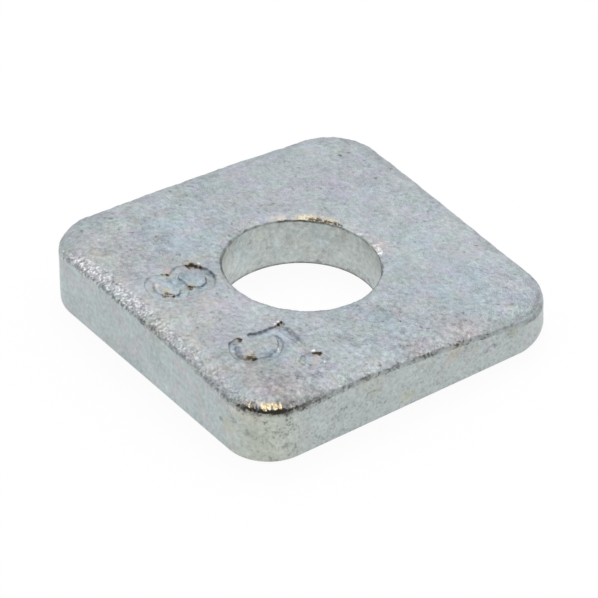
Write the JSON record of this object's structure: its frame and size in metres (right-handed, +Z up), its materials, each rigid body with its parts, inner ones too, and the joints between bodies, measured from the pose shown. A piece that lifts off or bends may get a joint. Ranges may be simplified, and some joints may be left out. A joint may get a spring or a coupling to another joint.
{
  "type": "taper washer",
  "caption": "Square steel washer with a sloping top face and a round bolt hole square to that face, zinc plated, for bolting to the sloped flange of a channel or joist.",
  "frame": {"origin": "middle of the bottom face, on the plane that the washer lies on", "axes": "+Z up out of the bottom face, which lies flat on Z = 0. The thick side is at -Y and the thin side at +Y, so the top face falls 5 degrees towards +Y. +X runs along the thick side. The hole's axis leans 5 degrees from +Z towards +Y, square to the top face."},
  "size_m": [0.022, 0.022, 0.0044],
  "materials": {
    "zinc_plate": "dull zinc plate over blanked steel, mottled blue-grey with pale speckle"
  },
  "bodies": {
    "root": {"taper_washer": "zinc_plate"}
  },
  "joints": []
}
